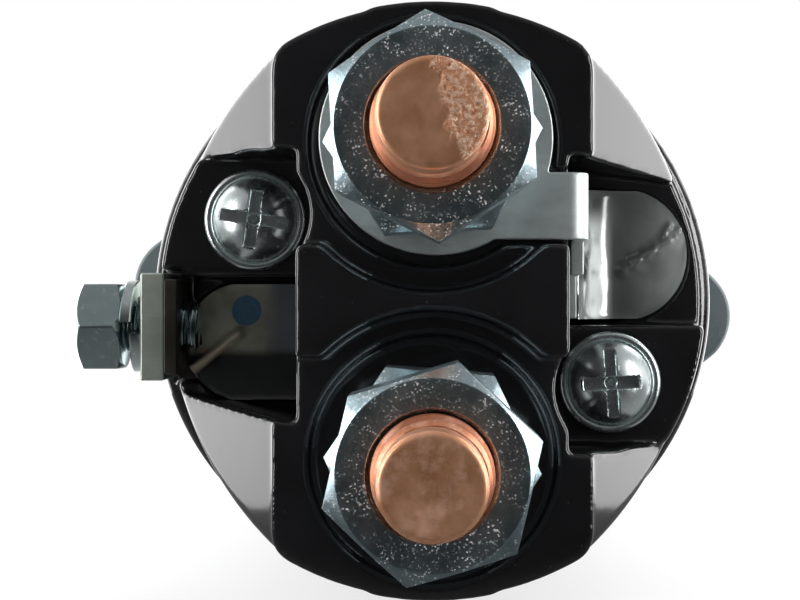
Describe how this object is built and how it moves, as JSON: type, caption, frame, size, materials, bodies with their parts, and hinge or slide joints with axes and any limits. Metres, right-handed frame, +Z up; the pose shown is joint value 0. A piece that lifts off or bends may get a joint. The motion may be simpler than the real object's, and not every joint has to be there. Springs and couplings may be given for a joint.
{
  "type": "starter solenoid relay",
  "caption": "Starter solenoid with a steel case, flange, sprung plunger and hook, and a moulded cap with copper terminal studs and a side screw terminal.",
  "frame": {"origin": "on the plunger's axis in the plane of the mounting flange's seating face, which is the centre of the circle through its two bolt holes", "axes": "the solenoid's axis lies along Y: -Y towards the terminals, +Y out of the flange towards the hook; +X to the right and +Z up as one looks at the terminals"},
  "size_m": [0.0774, 0.1572, 0.0552],
  "materials": {
    "flange_paint": "gloss black enamel over steel",
    "case_paint": "gloss black enamel over drawn steel",
    "cap_moulding": "glossy black phenolic moulding",
    "copper": "cold-headed copper, satin",
    "zinc": "bright blue zinc plate",
    "strap_zinc": "tinned steel, satin",
    "plunger_steel": "turned and nickel plated",
    "spring_steel": "drawn spring wire",
    "core_iron": "machined soft iron",
    "hook_steel": "phosphated forging",
    "bobbin_resin": "moulded nylon",
    "winding_wire": "enamelled copper wire",
    "seal_rubber": "matt rubber",
    "insulator_fibre": "pressed fibre",
    "solder": "dull solder",
    "resin": "poured dark resin"
  },
  "bodies": {
    "housing": {"mounting_flange": "flange_paint", "case_shell": "case_paint", "bobbin": "bobbin_resin", "pull_in_winding": "winding_wire", "hold_in_winding": "winding_wire", "fixed_core": "core_iron", "cap_gasket": "seal_rubber", "terminal_cap": "cap_moulding", "cap_screws": "zinc", "motor_stud": "copper", "battery_stud": "copper", "stud_seals": "seal_rubber", "motor_inner_nut": "zinc", "motor_cable_nut": "zinc", "battery_inner_nut": "zinc", "battery_cable_nut": "zinc", "motor_strap": "strap_zinc", "start_bracket": "strap_zinc", "clamp_plate": "strap_zinc", "start_spring_washer": "zinc", "start_screw": "zinc", "pull_in_lead": "winding_wire", "start_lead": "winding_wire", "solder_joints": "solder", "lead_potting": "resin", "return_spring": "spring_steel", "contact_return_spring": "spring_steel"},
    "plunger_group": {"plunger": "plunger_steel", "spring_retainer": "zinc", "snap_ring": "spring_steel", "plunger_end_washer": "zinc", "engaging_spring": "spring_steel"},
    "hook": {"hook_rod": "hook_steel"},
    "contact_rod_group": {"contact_rod": "plunger_steel", "rod_clip": "spring_steel", "contact_spring": "spring_steel"},
    "moving_contact": {"contact_plate": "copper", "lower_insulator": "insulator_fibre", "upper_insulator": "insulator_fibre"}
  },
  "joints": [
    {"name": "plunger_slide", "type": "slide", "parent": "housing", "child": "plunger_group", "axis": [0, -1, 0], "range_m": [0, 0.012], "stiffness_N_per_m": 1200, "springref_m": -0.01, "deforming": ["return_spring"]},
    {"name": "hook_slide", "type": "slide", "parent": "plunger_group", "child": "hook", "axis": [0, 1, 0], "range_m": [0, 0.008], "stiffness_N_per_m": 3000, "springref_m": -0.01, "deforming": ["engaging_spring"]},
    {"name": "contact_rod_slide", "type": "slide", "parent": "housing", "child": "contact_rod_group", "axis": [0, -1, 0], "range_m": [0, 0.00355], "deforming": ["contact_return_spring"]},
    {"name": "moving_contact_slide", "type": "slide", "parent": "contact_rod_group", "child": "moving_contact", "axis": [0, 1, 0], "range_m": [0, 0.0008], "deforming": ["contact_spring"]}
  ],
  "couplings": [
    {"joint": "contact_rod_slide", "follows": "plunger_slide", "ratio": 0.29583},
    {"joint": "moving_contact_slide", "follows": "plunger_slide", "ratio": 0.066666}
  ]
}
